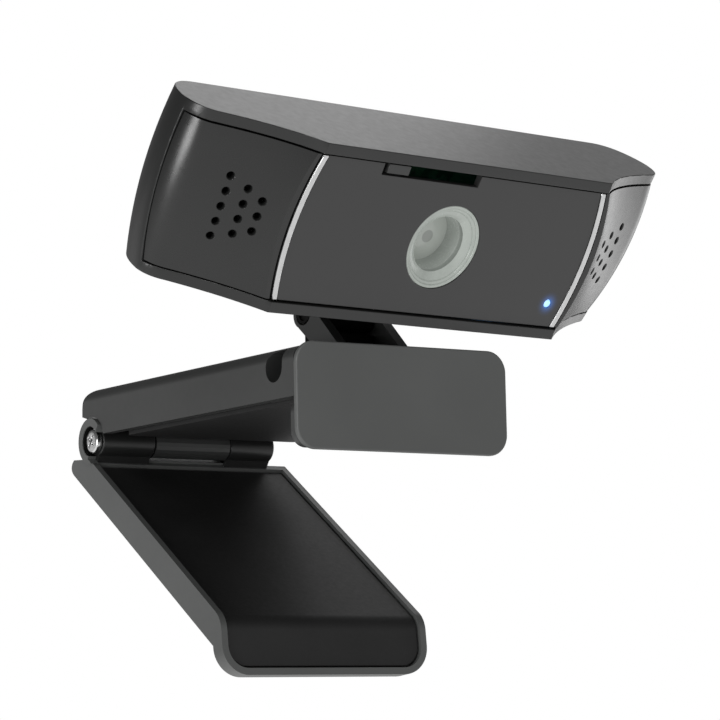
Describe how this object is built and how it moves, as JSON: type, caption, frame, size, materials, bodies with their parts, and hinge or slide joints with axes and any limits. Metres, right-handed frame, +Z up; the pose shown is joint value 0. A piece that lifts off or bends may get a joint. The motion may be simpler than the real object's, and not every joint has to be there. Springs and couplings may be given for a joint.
{
  "type": "webcam",
  "caption": "Webcam with a wide wedge-ended head, privacy shutter and status light, on a tilting and panning neck above a folding monitor clip.",
  "frame": {"origin": "middle of the upper arm's rubber underside, which rests on top of the screen", "axes": "+Z up, -Y towards the person in front of the camera, +X to that person's right; at rest the upper arm is level"},
  "size_m": [0.0972, 0.091, 0.0866],
  "materials": {
    "satin_black": "satin moulded ABS with a very fine grain and soft broad highlights",
    "plate_black": "even matte dark grey plastic",
    "window_grey": "smooth dark grey acrylic",
    "silver_trim": "satin silver trim strip",
    "rubber": "dark matte rubber",
    "matte_black": "deep matte black plastic",
    "steel": "bright zinc-plated steel",
    "insert_brass": "turned brass",
    "lens_grey": "grey-green moulded lens surround with fine ridges",
    "lens_glass": "coated lens glass",
    "circuit_board": "green solder mask",
    "status_light": "blue light pipe"
  },
  "bodies": {
    "upper_arm": {"upper_arm_shell": "satin_black", "upper_arm_base": "matte_black", "base_screw_1": "steel", "base_screw_2": "steel", "upper_grip_pad": "rubber", "clip_front_plate": "plate_black", "clip_back_plate": "satin_black", "plate_screw_left": "steel", "plate_screw_right": "steel", "lip_grip_pad": "rubber"},
    "lower_arm": {"lower_arm_tray": "satin_black", "lower_grip_pad": "rubber", "skid_plate": "plate_black", "tripod_insert": "insert_brass", "hinge_screw": "steel", "hinge_nut": "steel", "hinge_washer_left": "steel", "hinge_washer_right": "steel"},
    "neck": {"neck_yoke": "satin_black", "neck_core": "matte_black", "tilt_screw": "matte_black", "tilt_nut": "matte_black", "pan_screw": "steel", "pan_washer": "steel", "pan_nut": "steel"},
    "head": {"head_shell": "satin_black", "back_cover": "satin_black", "cover_screw_1": "steel", "cover_screw_2": "steel", "cover_screw_3": "steel", "cover_screw_4": "steel", "cable_gland": "rubber", "grille_panel_right": "satin_black", "grille_panel_left": "satin_black", "front_window": "window_grey", "trim_right": "silver_trim", "trim_left": "silver_trim", "lens_ring": "lens_grey", "lens_hood": "lens_grey", "front_lens": "lens_glass", "lens_barrel": "matte_black", "rear_lens": "lens_glass", "lens_holder": "matte_black", "image_sensor": "matte_black", "main_board": "circuit_board", "image_processor": "matte_black", "cable_connector": "lens_grey", "light_pipe": "status_light", "led_chip": "status_light", "microphone_left": "steel", "microphone_boot_left": "rubber", "microphone_right": "steel", "microphone_boot_right": "rubber", "tilt_lug": "matte_black", "lug_screw_left": "steel", "lug_screw_right": "steel"},
    "shutter": {"privacy_shutter": "window_grey"}
  },
  "joints": [
    {"name": "clip_fold", "type": "hinge", "parent": "upper_arm", "child": "lower_arm", "pos_m": [0, 0.0316, -0.0004], "axis": [1, 0, 0], "range_deg": [-32.2, 55.8]},
    {"name": "head_pan", "type": "hinge", "parent": "upper_arm", "child": "neck", "pos_m": [-0.0004, -0.0159, 0.0085], "axis": [0, 0, 1], "range_deg": [-68.2, 51.8]},
    {"name": "head_tilt", "type": "hinge", "parent": "neck", "child": "head", "pos_m": [-0.0004, -0.0159, 0.0154], "axis": [0.9898, 0.1426, 0], "range_deg": [-62, 8]},
    {"name": "shutter_slide", "type": "slide", "parent": "head", "child": "shutter", "axis": [0.9898, 0.1426, 0], "range_m": [0, 0.0144]}
  ]
}
